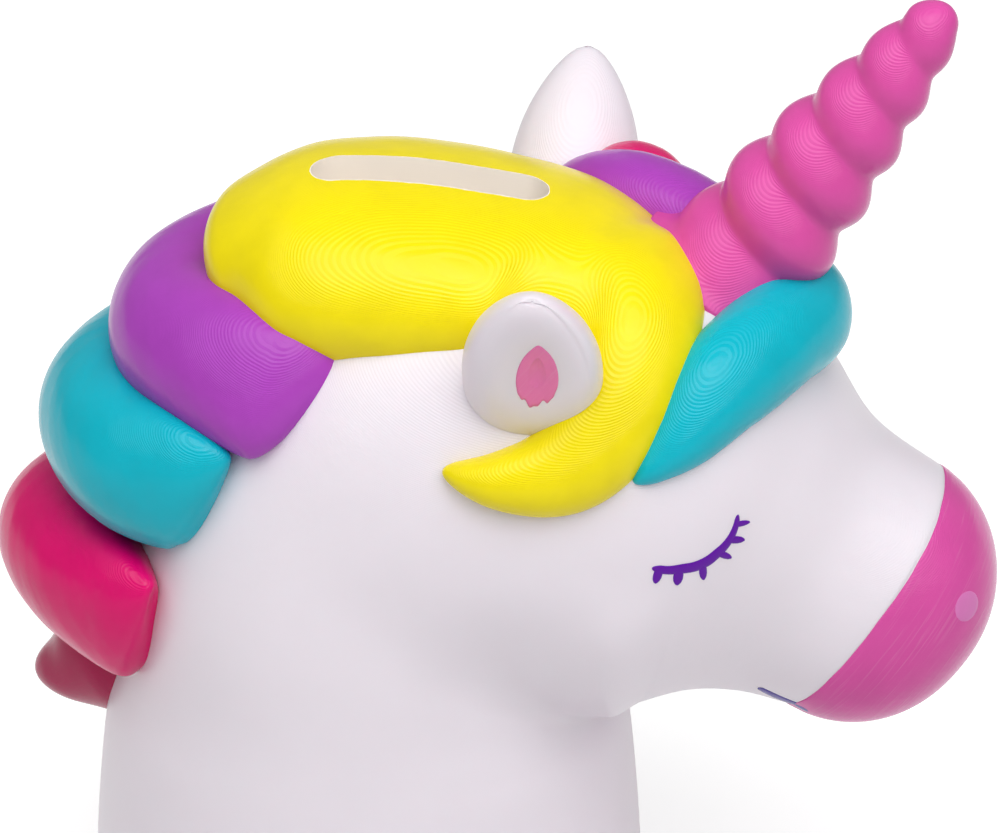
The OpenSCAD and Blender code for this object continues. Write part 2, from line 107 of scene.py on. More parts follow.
class BankHorn(bpy.types.PropertyGroup):
    reach: length("Length", "Length of the horn from the skin to its tip", 64.5)
    foot_width: length("Foot width", "Width of the horn at its foot", 27.5)
    tip_width: length("Tip width", "Width of the horn at its top coil", 8.4)
    coil_rise: length("Coil rise", "Rise of the lowest coil", 12.9)
    coil_depth: share("Coil depth", "Depth of the groove between two coils, as a share of the width", 0.165)
    ear_length: length("Ear length", "Length of an ear from inside the skull to its tip", 39)
    ear_width: length("Ear width", "Width of an ear, front to back", 24)
    ear_depth: length("Ear depth", "Thickness of an ear", 18.5)


class BankPaint(bpy.types.PropertyGroup):
    vinyl: colour("Vinyl", "Bare white vinyl", "#EEE6EE")
    yellow: colour("Yellow", "Paint of the crown and the near forelock", "#F5E100")
    purple: colour("Purple", "Paint of the top lock of the mane", "#AC42BA")
    teal: colour("Teal", "Paint of the middle lock of the mane", "#00B5C8")
    magenta: colour("Magenta", "Paint of the low lock of the mane", "#E0006C")
    # The tip of the mane is the magenta of the low lock, darkened here as painted shade for where it hangs
    # behind the neck.
    magenta_dark: colour("Dark magenta", "Paint of the tip of the mane", "#B0004E")
    pink: colour("Pink", "Paint of the horn and the muzzle", "#DA50A3")
    ear_pink: colour("Ear pink", "Paint inside the ears", "#F27DB5")
    nostril_pink: colour("Nostril pink", "Paint of the nostrils", "#DF7ABF")
    lash: colour("Lash purple", "Paint of the lids and lashes", "#6000A0")
    mouth: colour("Mouth purple", "Paint of the mouth line", "#4C3A9A")
    stopper: colour("Stopper", "Moulded plastic of the stopper", "#2A2A2E")
    film: length("Paint film", "How proud a painted mark stands of the skin", 0.14)
    layer: length("Layer", "Layer height of the printed master that the mould was taken from", 0.2)


class BankStudio(bpy.types.PropertyGroup):
    floor_width: length("Floor", "Width of the floor", 6000)
    sky: share("Sky", "Strength of the even light all round", 0.34)
    key: power("Key", "Power of the large lamp on the left", 2.2)
    fill: power("Fill", "Power of the lamp on the right", 3.1)
    top: power("Top", "Power of the lamp overhead", 3.6)


def in_mm(group):
    """The lengths of a property group in millimetres, and its other numbers as they are."""
    values = {}
    for name, prop in group.bl_rna.properties.items():
        if prop.type == "FLOAT" and not prop.is_array:
            value = getattr(group, name)
            values[name] = value / MM if prop.unit == "LENGTH" else value
    return SimpleNamespace(**values)


# ---- Curves and profiles ----


def lerp(a, b, t):
    return a + (b - a) * t


def unit(v):
    return v / np.maximum(np.linalg.norm(v, axis=-1, keepdims=True), 1e-12)


def polar(reach, degrees):
    return reach * np.array([math.cos(math.radians(degrees)), math.sin(math.radians(degrees))])


def along(rows, s):
    """Catmull-Rom through rows, with t = s - floor(s) and a, b, c, d the rows before and after it:
    P = (2b + (c-a)t + (2a-5b+4c-d)t^2 + (3b-a-3c+d)t^3) / 2."""
    rows = np.asarray(rows, float)
    last = len(rows) - 1
    k = np.clip(np.floor(s).astype(int), 0, last - 1)
    t = (s - k)[..., None]
    a, b, c, d = (rows[np.clip(k + j, 0, last)] for j in (-1, 0, 1, 2))
    return 0.5 * (2 * b + (c - a) * t + (2 * a - 5 * b + 4 * c - d) * t**2 + (3 * b - a - 3 * c + d) * t**3)


def smooth_max(a, b, k):
    """The larger of a and b, rounded where they cross: max + max(k - |a-b|, 0)^2 / 4k."""
    return np.maximum(a, b) + np.maximum(k - abs(a - b), 0) ** 2 / (4 * np.maximum(k, 1e-6))


def fade(v, low, high):
    """1 - (3s^2 - 2s^3), with s = (v - low) / (high - low) held between 0 and 1."""
    s = np.clip((v - low) / (high - low), 0, 1)
    return 1 - s * s * (3 - 2 * s)


def wander(x, seed, size):
    """An unsteady hand: size times a sum of sines whose waves grow shorter and smaller."""
    waves = [(1, 1.0, 0.0), (2.3, 0.6, 1.3), (5.1, 0.4, 2.9), (11.7, 0.22, 0.7), (23.9, 0.12, 4.1)]
    return size * sum(a * np.sin(f * x + p + seed * (1.7 + f)) for f, a, p in waves)


# ---- Meshes ----


def facing_out(points, faces):
    """The faces turned round if the volume they enclose, a sixth of the sum of a.(b x c), is negative."""
    a, b, c = (points[[f[i] for f in faces]] for i in range(3))
    total = np.einsum("ij,ij->", a, np.cross(b, c))
    quads = [f for f in faces if len(f) == 4]
    if quads:
        a, b, c = (points[[f[i] for f in quads]] for i in (0, 2, 3))
        total += np.einsum("ij,ij->", a, np.cross(b, c))
    return faces if total > 0 else [f[::-1] for f in faces]


def mesh_object(name, points, faces):
    mesh = bpy.data.meshes.new(name)
    mesh.from_pydata(points * MM, [], faces)
    mesh.shade_smooth()
    piece = bpy.data.objects.new(name, mesh)
    bpy.context.scene.collection.objects.link(piece)
    return piece


def tube(name, grid):
    """A closed surface over a grid of rings: sides wrap round, and a fan closes each end."""
    rings, sides = grid.shape[:2]
    points = np.vstack([grid.reshape(-1, 3), grid[0].mean(0), grid[-1].mean(0)])
    ring, side = (v.ravel() for v in np.meshgrid(np.arange(rings - 1), np.arange(sides), indexing="ij"))
    near, far = ring * sides + side, ring * sides + (side + 1) % sides
    walls = np.stack([near, far, far + sides, near + sides], -1).tolist()
    k = np.arange(sides)
    after = (k + 1) % sides
    end = (rings - 1) * sides
    start_cap = np.stack([after, k, 0 * k + rings * sides], -1).tolist()
    end_cap = np.stack([end + k, end + after, 0 * k + rings * sides + 1], -1).tolist()
    return mesh_object(name, points, facing_out(points, walls + start_cap + end_cap))


def sheet(name, grid):
    """An open sheet over a grid of points."""
    rows, columns = grid.shape[:2]
    steps = np.meshgrid(np.arange(rows - 1), np.arange(columns - 1), indexing="ij")
    row, column = (v.ravel() for v in steps)
    near = row * columns + column
    faces = np.stack([near, near + 1, near + columns + 1, near + columns], -1).tolist()
    return mesh_object(name, grid.reshape(-1, 3), faces)


def bake(piece):
    """Puts the result of the modifiers into the mesh."""
    done = bpy.data.meshes.new_from_object(piece.evaluated_get(bpy.context.evaluated_depsgraph_get()))
    piece.modifiers.clear()
    old = piece.data
    piece.data = done
    done.name = piece.name
    bpy.data.meshes.remove(old)
    return piece


def carve(piece, *cutters, operation="DIFFERENCE", keep=False):
    """Cuts the cutters out of a closed piece, or joins them to it, and drops them unless they are kept."""
    for cutter in cutters:
        cut = piece.modifiers.new("cut", "BOOLEAN")
        cut.operation = operation
        cut.solver = "MANIFOLD"
        cut.object = cutter
    bake(piece)
    if not keep:
        for cutter in cutters:
            bpy.data.objects.remove(cutter)
    return piece


def crisp(piece, degrees=40):
    """Smooth shading, with edges sharper than the angle left crisp."""
    piece.data.shade_smooth()
    piece.data.set_sharp_from_angle(angle=math.radians(degrees))
    return piece


def mirrored(piece, name):
    """The same piece on the other side of the head, with its faces turned back to face outwards."""
    mesh = piece.data.copy()
    mesh.name = name
    co = np.zeros(len(mesh.vertices) * 3)
    mesh.vertices.foreach_get("co", co)
    co[1::3] *= -1
    mesh.vertices.foreach_set("co", co)
    mesh.flip_normals()
    mesh.update()
    other = bpy.data.objects.new(name, mesh)
    bpy.context.scene.collection.objects.link(other)
    return other


def mount(piece, slot, material, *nodes, body="bank"):
    """Gives a piece its finish and its body, and hides the nodes that it stands for. The slot name is not
    used.
    """
    piece.data.materials.clear()
    piece.data.materials.append(material)
    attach(piece, body)
    if nodes:
        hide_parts(*nodes)
    return piece


# ---- Head ----

CORNER = 0.92
THROAT = np.array([46.0, 58.0])
SNOUT_TILT = 57
MUZZLE_RISE = 27.1
SNOUT_UP = polar(1, SNOUT_TILT)
SNOUT_ON = polar(1, SNOUT_TILT - 90)
SLOT_MID = np.array([12.8, -3.4])
SLOT_CUT = (124, 200)
RIM_ROUND = 0.8
SKIN_SIDES = 224
HOLLOW_SIDES = 128


def crest(size, degrees, share_out=1.0):
    """A point of the middle plane: throat + share * reach(angle) at that angle round the throat."""
    nape, crown, brow = size.nape_reach, size.crown_reach, size.brow_reach
    reaches = [
        (74, brow), (89, lerp(crown, brow, 0.7)), (105, lerp(crown, brow, 0.3)), (122, crown),
        (139, lerp(nape, crown, 0.9)), (157, lerp(nape, crown, 0.45)), (175, nape),
    ]
    return THROAT + polar(share_out * np.interp(degrees, *zip(*reaches)), degrees)


def muzzle_mid(size):
    return THROAT + polar(size.muzzle_reach, MUZZLE_RISE)


def head_stations(size):
    """Sections that fan round the throat: x, z under the jaw, x, z at the crest, half width, blend."""
    depth, neck = size.neck_depth, size.neck_width / 2
    skull, muzzle = size.skull_width / 2, size.muzzle_width / 2
    x, z = THROAT
    middle, lift = muzzle_mid(size), SNOUT_UP * size.muzzle_height / 2

    def row(low, high, wide, blend=0):
        return [*low, *high, wide, blend]

    def jaw(on, up):
        return THROAT + size.muzzle_reach * np.array([on, up])

    return np.array([
        row([depth / 2, 0], [-depth / 2, 0], neck),
        row([depth * 0.504, z * 0.207], [-depth * 0.504, z * 0.207], neck),
        row([depth * 0.495, z * 0.517], [-depth * 0.495, z * 0.517], neck),
        row([x * 1.054, z * 0.862], [x - size.nape_reach * 1.033, z * 0.897], neck * 0.979),
        row(THROAT, crest(size, 175), neck * 0.968),
        row(THROAT, crest(size, 157), neck * 0.957, 1),
        row(THROAT, crest(size, 139), skull, 1),
        row(THROAT, crest(size, 122), skull * 1.023, 1),
        row(THROAT, crest(size, 105), skull * 1.023, 1),
        row(jaw(0.02, 0.012), crest(size, 89), skull * 0.977, 1),
        row(jaw(0.099, 0.05), crest(size, 74), skull * 0.886),
        row(jaw(0.257, 0.089), crest(size, 61, 0.8775), skull * 0.716),
        row(jaw(0.436, 0.079), crest(size, 49, 0.8055), muzzle * 1.083),
        row(middle - lift, middle + lift, muzzle),
    ])


PAINT_LINE = 13
SNOUT_END = 14


def head_rows(size, s):
    """The station at s. From the paint line to the snout's end it is a dome of radius cos(t) ^ CORNER."""
    rows = head_stations(size)
    k = np.clip(np.floor(s).astype(int), 0, PAINT_LINE)
    after = np.clip(k + 1, 0, PAINT_LINE)
    found = along(rows, np.clip(s, 0, PAINT_LINE))
    on_throat = (abs(rows[k, :2] - rows[after, :2]).sum(-1) < 1e-9) & (s < PAINT_LINE)
    found[..., :2] = np.where(on_throat[..., None], rows[k, :2], found[..., :2])
    t = np.clip(s - PAINT_LINE, 0, 1)[..., None] * math.pi / 2
    mid = muzzle_mid(size) + SNOUT_ON * size.muzzle_length * np.sin(t)
    r = np.maximum(np.cos(t), 0) ** CORNER
    lift = SNOUT_UP * r * size.muzzle_height / 2
    dome = np.concatenate([mid - lift, mid + lift, r * size.muzzle_width / 2, 0 * r], -1)
    return np.where(s[..., None] > PAINT_LINE, dome, found)


COLUMN_INSIDE = (1, 1.5)
CHEEK_BLEND = 5
BLEND_FULL = 15


def throat_width(size, x, z, inset):
    """Half width round the throat: the neck column in x and the cheeks in z, joined by smooth_max."""

    def oval(u):
        return np.maximum(1 - np.maximum(0, u) ** (2 / CORNER), 0) ** (CORNER / 2)

    front, sides = COLUMN_INSIDE
    reach = (THROAT[0] + size.neck_depth / 2 - front) / 2 - inset
    column = (size.neck_width / 2 - sides - inset) * oval((x - THROAT[0] + reach + inset) / reach)
    height = size.cheek_height
    cheek = (size.skull_width / 2 - inset) * oval((THROAT[1] + height - z) / (height - inset))
    wide = np.maximum(column, cheek)
    return smooth_max(column, cheek, CHEEK_BLEND * np.minimum(1, wide / BLEND_FULL)) * (wide > 0.01)


def head_surface(size, s, t, inset=0.0):
    """The skin at station s and turn t, an oval across each station: x and z go by |cos t|^CORNER, y by
    |sin t|^CORNER, which gives way to throat_width on the lower part of the stations that blend."""
    s, t = np.broadcast_arrays(np.asarray(s, float), np.asarray(t, float))
    row = head_rows(size, s)
    low, high, wide, blend = row[..., 0:2], row[..., 2:4], row[..., 4], row[..., 5]
    half = np.linalg.norm(high - low, axis=-1) / 2
    up = unit(high - low)
    share_up = np.sign(np.cos(t)) * abs(np.cos(t)) ** CORNER
    reach = share_up * np.maximum(half - inset, 0)
    x, z = ((low + high)[..., i] / 2 + up[..., i] * reach for i in (0, 1))
    w = abs(np.sin(t)) ** CORNER * np.maximum(wide - inset, 0)
    mix = np.clip(blend, 0, 1) * (1 - fade(-share_up, 0, 0.4))
    y = np.sign(np.sin(t)) * lerp(w, throat_width(size, x, z, inset), mix)
    y = np.where(abs(np.sin(t)) < 1e-9, 0, y)
    return np.stack([x, y, z], -1)


def turns_round(sides):
    return np.arange(sides) / sides * TURN


def station_steps(start=0.0):
    """Stations from start on, closer together over the throat and towards the end of the snout."""
    end = PAINT_LINE + (1 - np.cos(np.linspace(0, 1, 28) * math.pi / 2)[::-1])[1:]
    neck, throat = np.linspace(0, 4, 30)[:-1], np.linspace(4, 10, 90)[:-1]
    bends = np.concatenate([neck, throat, np.linspace(10, PAINT_LINE, 50)])
    return np.concatenate([[start], bends[bends > start + 0.01], end])


def slot_prism(size):
    """The coin slot: a bar with round ends, from inside the head to above the crown."""
    r = size.slot_width / 2
    t = turns_round(96)
    shift = np.sign(np.cos(t)) * (size.slot_length - size.slot_width) / 2
    ring = np.stack([SLOT_MID[0] + shift + r * np.cos(t), SLOT_MID[1] + r * np.sin(t), 0 * t], -1)
    return tube("slot", np.stack([ring + [0, 0, z] for z in SLOT_CUT]))


def base_plug(size):
    """What is cut away under the bank: the recess up to the floor, and the hole through it."""
    t = turns_round(128)
    floor_top = size.floor_up + size.wall
    steps = [
        (size.recess_width / 2, -1),
        (size.recess_width / 2, size.floor_up),
        (size.hole_width / 2, size.floor_up),
        (size.hole_width / 2, floor_top + 2),
    ]
    rings = [np.stack([r * np.cos(t), r * np.sin(t), 0 * t + z], -1) for r, z in steps]
    return tube("base", np.stack(rings))


def head_shell(size):
    """The moulded skin with its hollow, the slot, the recess and the hole."""
    t = turns_round(SKIN_SIDES)
    s = station_steps()
    grid = head_surface(size, s[:, None], t)
    bend = np.radians([0, 22.5, 45, 67.5])
    inset = RIM_ROUND * (1 - np.sin(bend))
    rim = np.stack([head_surface(size, 0.0, t, i) for i in inset])
    rim[..., 2] = (RIM_ROUND * (1 - np.cos(bend)))[:, None]
    grid[0, :, 2] = RIM_ROUND
    shell = tube("head_skin", np.concatenate([rim, grid]))
    table = np.linspace(0, 1, 200)
    start = np.interp(size.floor_up + size.wall, head_rows(size, table)[:, 1], table)
    inner = head_surface(size, station_steps(start)[:, None], turns_round(HOLLOW_SIDES), size.wall)
    hollow = tube("hollow", inner)
    return crisp(carve(shell, hollow, slot_prism(size), base_plug(size)))


def normals_of(grid):
    """Unit normals of a grid: the cross product of its two gradients, pointing away from the middle."""
    found = unit(np.cross(np.gradient(grid, axis=0), np.gradient(grid, axis=1)))
    middle = grid.reshape(-1, 3).mean(0)
    return found if np.einsum("ijk,ijk->", found, grid - middle) > 0 else -found


LINE_SHAKE = 0.22
UNDER_SKIN = 0.25
UNDER_PAINT = 0.4
PAINT_ROLL = 0.03


def muzzle_film(size, film):
    """A coat of paint past the paint line, whose edge wanders and rolls down on to the skin."""
    t = turns_round(SKIN_SIDES)
    table = np.linspace(PAINT_LINE - 0.6, PAINT_LINE + 0.2, 120)
    past = (head_surface(size, table[:, None], t)[..., [0, 2]] - muzzle_mid(size)) @ SNOUT_ON
    line = wander(t, 3, LINE_SHAKE)
    start = np.array([np.interp(line[k], past[:, k], table) for k in range(len(t))])
    step = np.concatenate([np.linspace(0, 0.05, 6), 1 - np.cos(np.linspace(0.32, 1, 44) * math.pi / 2)])
    grid = head_surface(size, lerp(start, SNOUT_END - 0.002, step[:, None]), t)
    proud = film * np.sqrt(np.clip((step + 0.004) / PAINT_ROLL, 0, 1))
    outwards = normals_of(grid)
    sunk = grid - outwards * UNDER_PAINT
    grid = grid + outwards * proud[:, None, None]
    return tube("muzzle_paint", np.concatenate([sunk[:1], grid]))


# ---- Marks painted on the face ----


def aimed(azimuth, elevation):
    """Right, up and out of a view from that azimuth and elevation, with azimuth 0 looking along +Y."""
    a, e = math.radians(azimuth), math.radians(elevation)
    out = np.array([math.sin(a) * math.cos(e), -math.cos(a) * math.cos(e), math.sin(e)])
    right = np.array([math.cos(a), math.sin(a), 0])
    return right, np.cross(out, right), out


VIEW_AZIMUTH = 6
VIEW_ELEVATION = 28
FACE_ON = np.stack(aimed(VIEW_AZIMUTH, VIEW_ELEVATION))
FROM_THE_SIDE = np.array([[SNOUT_ON[0], 0, SNOUT_ON[1]], [SNOUT_UP[0], 0, SNOUT_UP[1]], [0, -1, 0]])


def placed(data, name, spot, right, up, out):
    """Puts an object at spot in millimetres, turned so that its axes are right, up and out."""
    holder = bpy.data.objects.new(name, data)
    matrix = np.eye(4)
    matrix[:3, 0], matrix[:3, 1], matrix[:3, 2], matrix[:3, 3] = right, up, out, np.asarray(spot) * MM
    holder.matrix_world = Matrix(matrix)
    bpy.context.scene.collection.objects.link(holder)
    return holder


def laid(flat, middle, axes, skin, before=30):
    """Where a flat drawing, held before the skin, meets it along the last of the axes."""
    grid = np.concatenate([flat, np.full((*flat.shape[:2], 1), float(before))], -1)
    drawn = sheet("drawing", grid)
    mark = placed(drawn.data, "mark", middle, *axes)
    bpy.data.objects.remove(drawn)
    wrap = mark.modifiers.new("lay", "SHRINKWRAP")
    wrap.wrap_method = "PROJECT"
    wrap.use_project_z = True
    wrap.use_positive_direction = False
    wrap.use_negative_direction = True
    wrap.target = skin
    bake(mark)
    co = np.zeros(grid.size)
    mark.data.vertices.foreach_get("co", co)
    bpy.data.objects.remove(mark)
    return co.reshape(grid.shape) / MM @ axes + middle


def lifted(found, proud, out):
    """A film over a grid on the skin: its top, proud along the normals, and its back, under the skin."""
    outwards = unit(np.cross(np.gradient(found, axis=0), np.gradient(found, axis=1)))
    outwards = outwards * np.sign(outwards @ out)[..., None]
    return found + outwards * proud[..., None], found - outwards * UNDER_SKIN


STROKE_STEPS = 12
STROKE_ACROSS = 9
ROUND_OVER = 0.06


def stroke(name, points, half_width, film, place, skin, round_ends=True):
    """A brush stroke through points: centre(u) + v * half_width(u) * side, with u along it and v from -1 to 1
    across it, domed by sqrt(1 - v^2)."""
    points = np.asarray(points, float)
    u = np.linspace(0, 1, STROKE_STEPS * (len(points) - 1) + 1)
    line = along(points, u * (len(points) - 1))
    way = unit(np.gradient(line, axis=0))
    side = np.stack([-way[:, 1], way[:, 0]], -1)
    wide = np.interp(u, np.linspace(0, 1, len(half_width)), half_width)
    if round_ends:
        wide = wide * np.sqrt(np.clip(np.minimum(u, 1 - u) / ROUND_OVER, 0.02, 1))
    v = np.linspace(-1, 1, STROKE_ACROSS)
    flat = line[:, None] + (v * wide[:, None])[..., None] * side[:, None]
    proud = np.broadcast_to(film * np.sqrt(1 - 0.98 * v**2), flat.shape[:2])
    top, under = lifted(laid(flat, *place, skin), proud, place[1][2])
    return tube(name, np.concatenate([top, under[:, ::-1]], axis=1))


def disc(name, flat, proud, place, skin):
    """A round mark: rings from the middle out, laid on the skin, lifted and closed under it."""
    top, under = lifted(laid(flat, *place, skin), proud, place[1][2])
    return tube(name, np.concatenate([top, under[-1:]]))


EYE_MID = np.array([63.8, -37.4, 106.2])
LID = [
    (-8.63, -2.18), (-5.78, -2.53), (-3.19, -2.29), (-1.02, -1.92), (1.14, -0.97),
    (2.88, 0.42), (4.26, 1.8), (5.3, 3.36), (5.99, 5.09), (6.34, 7.08),
]
LID_WIDTH = [0.7, 0.75, 0.85, 0.87, 0.87, 0.8, 0.7, 0.6, 0.52, 0.4]
LASHES = [
    ((-7.34, -2.53), (-8.04, -4.78), 0.78),
    ((-3.88, -2.88), (-4.23, -5.13), 0.87),
    ((0.28, -2.0), (0.45, -4.26), 0.7),
    ((3.2, 0.3), (5.3, -0.45), 0.6),
    ((5.1, 2.67), (7.55, 2.67), 0.65),
    ((5.9, 5.3), (8.42, 5.78), 0.5),
]
LASH_SHAPE = [0.9, 1.0, 1.0, 0.8, 0.3]
LID_FILM = 1.4
LASH_FILM = 1.3
NOSTRIL_FILM = 1.6
NOSTRIL_MID = np.array([109.9, -15.0, 85.9])
NOSTRIL_HALF = (2.35, 3.05)
NOSTRIL_LEAN = 20
MOUTH = [(-0.165, -0.375), (-0.07, -0.393), (0.02, -0.392), (0.1, -0.384)]
MOUTH_WIDTH = [0.6, 1.1, 1.15, 1.0]


def face_marks(size, film, skin):
    """The closed eye with its lashes, the nostril and the mouth line of the near side."""
    eye = [stroke("eye_right_paint", LID, LID_WIDTH, film * LID_FILM, (EYE_MID, FACE_ON), skin)]
    for root, tip, wide in LASHES:
        points, widths = [root, np.add(root, tip) / 2, tip], wide * np.array(LASH_SHAPE)
        eye.append(stroke("lash", points, widths, film * LASH_FILM, (EYE_MID, FACE_ON), skin, False))
    lids = carve(eye[0], *eye[1:], operation="UNION")
    r, t = np.linspace(0.01, 1, 12)[:, None], turns_round(64)[None]
    wide, tall = NOSTRIL_HALF[0] * r * np.sin(t), NOSTRIL_HALF[1] * r * np.cos(t)
    c, n = polar(1, NOSTRIL_LEAN)
    flat = np.stack([wide * c + tall * n, tall * c - wide * n], -1)
    proud = film * NOSTRIL_FILM * np.sqrt(1 - 0.95 * r**6) + 0 * t
    nostril = disc("nostril_right_paint", flat, proud, (NOSTRIL_MID, FACE_ON), skin)
    middle = muzzle_mid(size)
    place = (np.array([middle[0], 0, middle[1]]), FROM_THE_SIDE)
    points = np.array(MOUTH) * size.muzzle_height
    smile = stroke("mouth_right_paint", points, MOUTH_WIDTH, film, place, skin)
    return crisp(lids, 60), nostril, smile


# ---- Ears ----

EAR_FOOT = np.array([33.6, -29.8, 130.0])
EAR_ON = unit(np.array([2.0, -22.0, 30.0]))
EAR_ACROSS = unit(np.cross([0.0, 1.0, 0.0], EAR_ON))
EAR_OUT = np.cross(EAR_ACROSS, EAR_ON)
EAR_SHAPE = [
    (0, 0.9), (0.22, 1), (0.44, 0.99), (0.63, 0.87), (0.79, 0.66), (0.91, 0.42), (0.98, 0.2), (1, 0.03),
]
DIMPLE_AT = 0.58
DIMPLE_ASIDE = 1.4
DIMPLE_DEEP = 4.6
DIMPLE_WIDE = (7.8, 13.0)
LEAF_AT = 0.545
LEAF_HALF = (3.5, 7.8)


def ear_surface(size, e, t):
    """Ovals along the ear, its outer side pressed in by deep * exp(-a^2 - l^2), a across and l along it."""
    e, t = np.broadcast_arrays(np.asarray(e, float), np.asarray(t, float))
    shape = along(EAR_SHAPE, e * (len(EAR_SHAPE) - 1))
    on, r = shape[..., 0] * size.ear_length, np.maximum(shape[..., 1], 0)
    across, out = r * size.ear_width / 2 * np.cos(t), r * size.ear_depth / 2 * np.sin(t)
    a, l = (across - DIMPLE_ASIDE) / DIMPLE_WIDE[0], (on - DIMPLE_AT * size.ear_length) / DIMPLE_WIDE[1]
    out = out - DIMPLE_DEEP * np.exp(-(a**2 + l**2)) * (np.sin(t) > 0) * np.minimum(1, 2 * abs(np.sin(t)))
    return EAR_FOOT + np.stack([across, out, on], -1) @ np.stack([EAR_ACROSS, EAR_OUT, EAR_ON])


def ear(size):
    e = np.sin(np.linspace(0, 1, 90) * math.pi / 2)
    return tube("ear_right_skin", ear_surface(size, e[:, None], turns_round(144)))


def inner_ear(size, film, skin):
    """A leaf of paint in the dimple: half width sin(t) * (1 - 0.22 cos t), a point on top, a ragged foot."""
    r, t = np.linspace(0.01, 1, 14)[:, None], turns_round(96)[None]
    point = np.maximum(np.cos(t), 0)
    wide = LEAF_HALF[0] * np.sin(t) * (1 - 0.22 * np.cos(t) - 0.25 * point**4)
    jags = np.sin(8 * t + 0.4) + 0.6 * np.sin(17 * t) + 0.5 * np.sin(2 * t)
    ragged = 1 + 0.07 * jags * np.clip(-2 * np.cos(t) - 0.6, 0, 1) + 0.05 * point**8
    flat = np.stack([r * wide, r * LEAF_HALF[1] * np.cos(t) * ragged], -1)
    middle = EAR_FOOT + EAR_ON * LEAF_AT * size.ear_length + EAR_ACROSS * DIMPLE_ASIDE
    axes = np.stack([EAR_ACROSS, EAR_ON, EAR_OUT])
    proud = film * np.sqrt(1 - 0.95 * r**8) + 0 * t
    return disc("inner_ear_right_paint", flat, proud, (middle, axes), skin)


# ---- Horn ----

HORN_LEAN = 34.5
HORN_AT = (77, 0.971)
HORN_SUNK = 9
COIL_START = 6.5
COIL_CLOSE = 0.38
TIP_ROUND = 5
GROOVE_SOFT = 0.09
FOOT_FLARE = 0.24
FLARE_HIGH = 7
GROOVE_FADE = 4
TIP_CALM = 0.7
TAPER = 1.6


def horn(head, size):
    """A cone wound by one groove. At height z the coil has made u turns, z = start + rise u - close u^2, and
    the radius shrinks by depth times a groove that falls from 1 to 0 as sqrt(sin(pi u)^2 + soft) grows."""
    t = turns_round(160)[None]
    top = size.reach
    to_tip = top - TIP_ROUND * (1 - np.sin(np.linspace(0.04, 1, 40) * math.pi / 2))
    z = np.concatenate([np.linspace(-HORN_SUNK, top - TIP_ROUND, 300), to_tip])[:, None]
    under = np.maximum(0, size.coil_rise**2 - 4 * COIL_CLOSE * (z - COIL_START))
    u = (size.coil_rise - np.sqrt(under)) / (2 * COIL_CLOSE) + t / TURN
    q, end = np.clip(z / top, 0, 1), np.clip((z - top + TIP_ROUND) / TIP_ROUND, 0, 1)
    r = lerp(size.tip_width, size.foot_width, 1 - q**TAPER) / 2
    r = r * (1 + FOOT_FLARE * np.clip(1 - z / FLARE_HIGH, 0, 1) ** 2)
    r = r * np.sqrt(np.maximum(0.0002, 1 - end * end))
    full, low = math.sqrt(1 + GROOVE_SOFT), math.sqrt(GROOVE_SOFT)
    groove = (full - np.sqrt(np.sin(math.pi * u) ** 2 + GROOVE_SOFT)) / (full - low)
    r = r * (1 - size.coil_depth * groove * np.clip(z / GROOVE_FADE, 0, 1) * (1 - TIP_CALM * end))
    c, n = polar(1, HORN_LEAN)
    x, y, up = r * np.cos(t), r * np.sin(t), z + 0 * t
    foot = crest(head, *HORN_AT)
    return tube("horn_coils", np.stack([x * c + up * n + foot[0], y, up * c - x * n + foot[1]], -1))


# ---- Hair ----

SQUARE = 4
LOCK_STEPS = 44
LOCK_SHAKE = 0.004


def lock(name, steps, centre, blunt=(0.6, 0.6), sides=96, seed=0, slant=0.0, square=False):
    """A lock through steps [x, y, z, half width, half thickness]: an oval carried along the path, flat side
    to the centre, drawn in over the last blunt steps at either end as a quarter circle. Slant leans the
    ends along the path, and square ends close in width as (1 - e^4)^(1/4), which leaves them broad."""
    steps = np.array(steps, float)
    last = len(steps) - 1
    s = last * (1 - np.cos(np.linspace(0.004, 0.996, LOCK_STEPS * last) * math.pi)) / 2
    row = along(steps, s)
    first_end, last_end = np.maximum(0, 1 - s / blunt[0]), np.maximum(0, 1 - (last - s) / blunt[1])
    q = np.maximum(0.02, np.sqrt(np.maximum(0, 1 - first_end**2)) * np.sqrt(np.maximum(0, 1 - last_end**2)))
    path = row[:, :3]
    way = unit(np.gradient(path, axis=0))
    side = unit(np.cross(way, path - np.array(centre)))
    up = np.cross(side, way)
    side = side + way * (slant * (np.maximum(0, 1 - (last - s)) - np.maximum(0, 1 - s)))[:, None]
    t = turns_round(sides)
    r = 1 + wander(t[None] * 2 + s[:, None] * 3, seed, LOCK_SHAKE)
    broad = (1 - first_end**SQUARE) ** (1 / SQUARE) * (1 - last_end**SQUARE) ** (1 / SQUARE)
    full = np.maximum(0.02, broad) if square else q
    wide, thick = (full * row[:, 3])[:, None] * np.cos(t) * r, (q * row[:, 4])[:, None] * np.sin(t) * r
    return tube(name, path[:, None] + side[:, None] * wide[..., None] + up[:, None] * thick[..., None])


def both_sides(half):
    return half + [[s[0], -s[1], *s[2:]] for s in reversed(half)]


